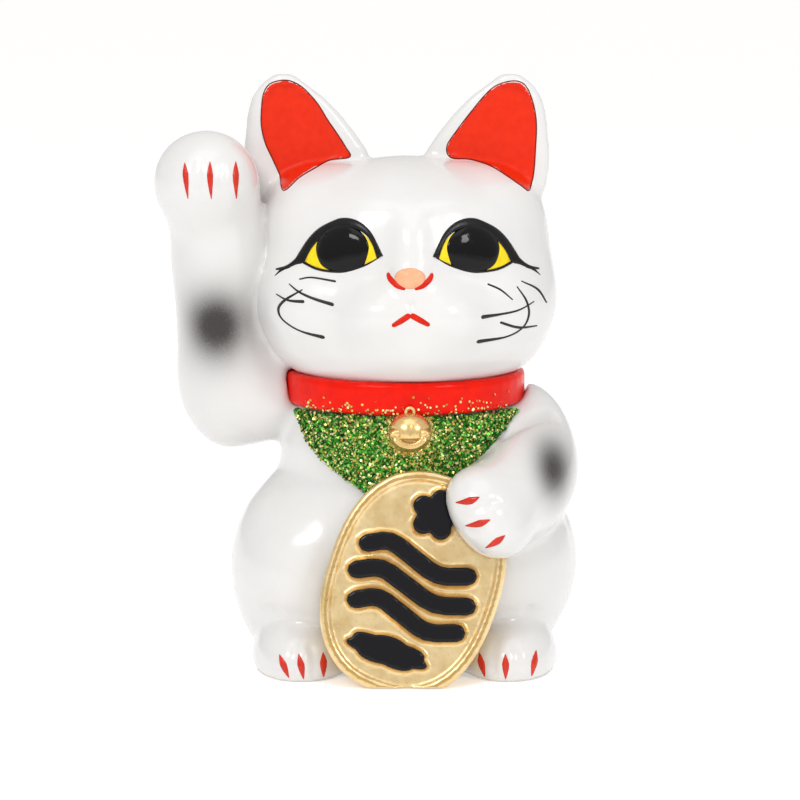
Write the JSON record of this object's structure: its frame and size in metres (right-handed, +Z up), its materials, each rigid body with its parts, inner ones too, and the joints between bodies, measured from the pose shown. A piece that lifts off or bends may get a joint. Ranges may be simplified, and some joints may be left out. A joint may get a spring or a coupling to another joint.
{
  "type": "beckoning cat coin bank",
  "caption": "Hollow glazed ceramic figurine of a seated cat with a raised beckoning paw and an oval gold coin, with a coin slot in its back and a stopper in its base.",
  "frame": {"origin": "on the surface the figurine stands on, under the middle of the whole figure's outline", "axes": "+Z up, the cat faces -Y, its raised right paw is on the -X side"},
  "size_m": [0.1306, 0.1104, 0.181],
  "materials": {
    "glaze": "gloss",
    "red_enamel": "gloss",
    "black_enamel": "gloss",
    "glitter": "glitter",
    "gold": "metallic",
    "rubber": "matt"
  },
  "bodies": {
    "figurine": {"torso": "glaze", "head": "glaze", "right_ear": "glaze", "left_ear": "glaze", "raised_arm": "glaze", "koban_arm": "glaze", "right_foot": "glaze", "left_foot": "glaze", "tail": "glaze", "collar": "red_enamel", "bib": "glitter", "bell": "gold", "bell_loop": "gold", "koban": "gold", "koban_blossom": "black_enamel", "koban_wave_upper": "black_enamel", "koban_wave_middle": "black_enamel", "koban_wave_lower": "black_enamel", "koban_cloud": "black_enamel"},
    "bung": {"stopper": "rubber"}
  },
  "joints": [
    {"name": "stopper_pull", "type": "slide", "parent": "figurine", "child": "bung", "axis": [0, 0, -1], "range_m": [0, 0.016]}
  ]
}
